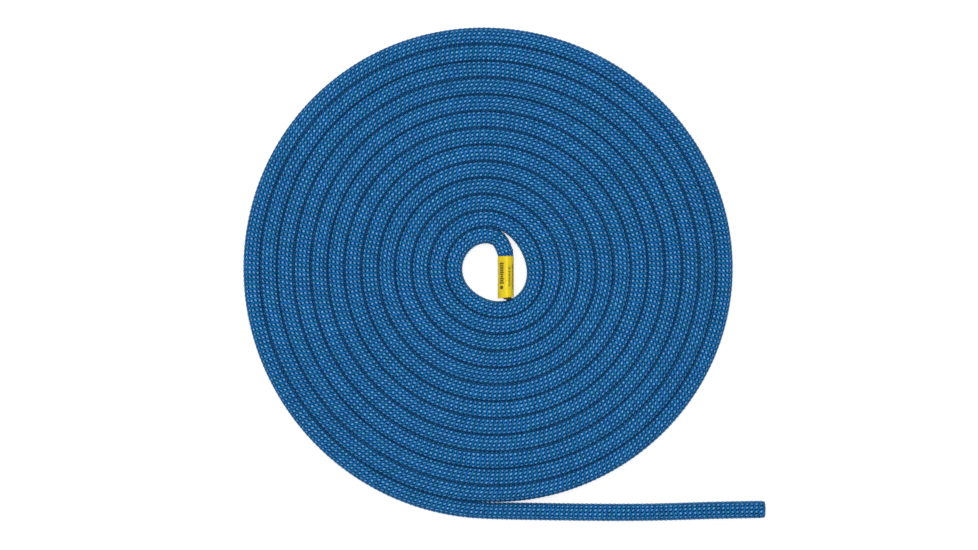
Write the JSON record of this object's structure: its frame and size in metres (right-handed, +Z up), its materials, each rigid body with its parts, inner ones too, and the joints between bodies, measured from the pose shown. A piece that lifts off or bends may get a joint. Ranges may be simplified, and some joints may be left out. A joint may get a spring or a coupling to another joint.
{
  "type": "dynamic climbing rope",
  "caption": "Length of braided blue climbing rope laid flat in a tight single-layer spiral coil, with a straight cut tail and a yellow labelled inner end.",
  "frame": {"origin": "centre of the footprint, on the surface the rope lies on", "axes": "+Z up; +X along the tail, away from the coil; +Y across, from the tail towards the coil"},
  "size_m": [0.309, 0.2916, 0.01],
  "materials": {
    "sheath": "braided two-tone blue polyamide yarn",
    "core_yarn": "undyed twisted polyamide yarn",
    "identification_tape": "thin printed tape",
    "fused_end": "melted and set polyamide",
    "fused_tip": "dark melted polyamide",
    "label": "printed yellow film",
    "clear_sleeve": "clear shrink film"
  },
  "bodies": {
    "root": {"coil": "sheath", "tail_sheath": "sheath", "tail_core_strand_01": "core_yarn", "tail_core_strand_02": "core_yarn", "tail_core_strand_03": "core_yarn", "tail_core_strand_04": "core_yarn", "tail_core_strand_05": "core_yarn", "tail_core_strand_06": "core_yarn", "tail_core_strand_07": "core_yarn", "tail_core_strand_08": "core_yarn", "tail_core_strand_09": "core_yarn", "tail_core_strand_10": "core_yarn", "tail_core_strand_11": "core_yarn", "tail_core_strand_12": "core_yarn", "tail_core_strand_13": "core_yarn", "tail_tape": "identification_tape", "inner_sheath": "sheath", "inner_core_strand_01": "core_yarn", "inner_core_strand_02": "core_yarn", "inner_core_strand_03": "core_yarn", "inner_core_strand_04": "core_yarn", "inner_core_strand_05": "core_yarn", "inner_core_strand_06": "core_yarn", "inner_core_strand_07": "core_yarn", "inner_core_strand_08": "core_yarn", "inner_core_strand_09": "core_yarn", "inner_core_strand_10": "core_yarn", "inner_core_strand_11": "core_yarn", "inner_core_strand_12": "core_yarn", "inner_core_strand_13": "core_yarn", "inner_tape": "identification_tape", "tail_seal": "fused_end", "inner_seal": "fused_tip", "end_label": "label", "label_sleeve": "clear_sleeve"}
  },
  "joints": []
}
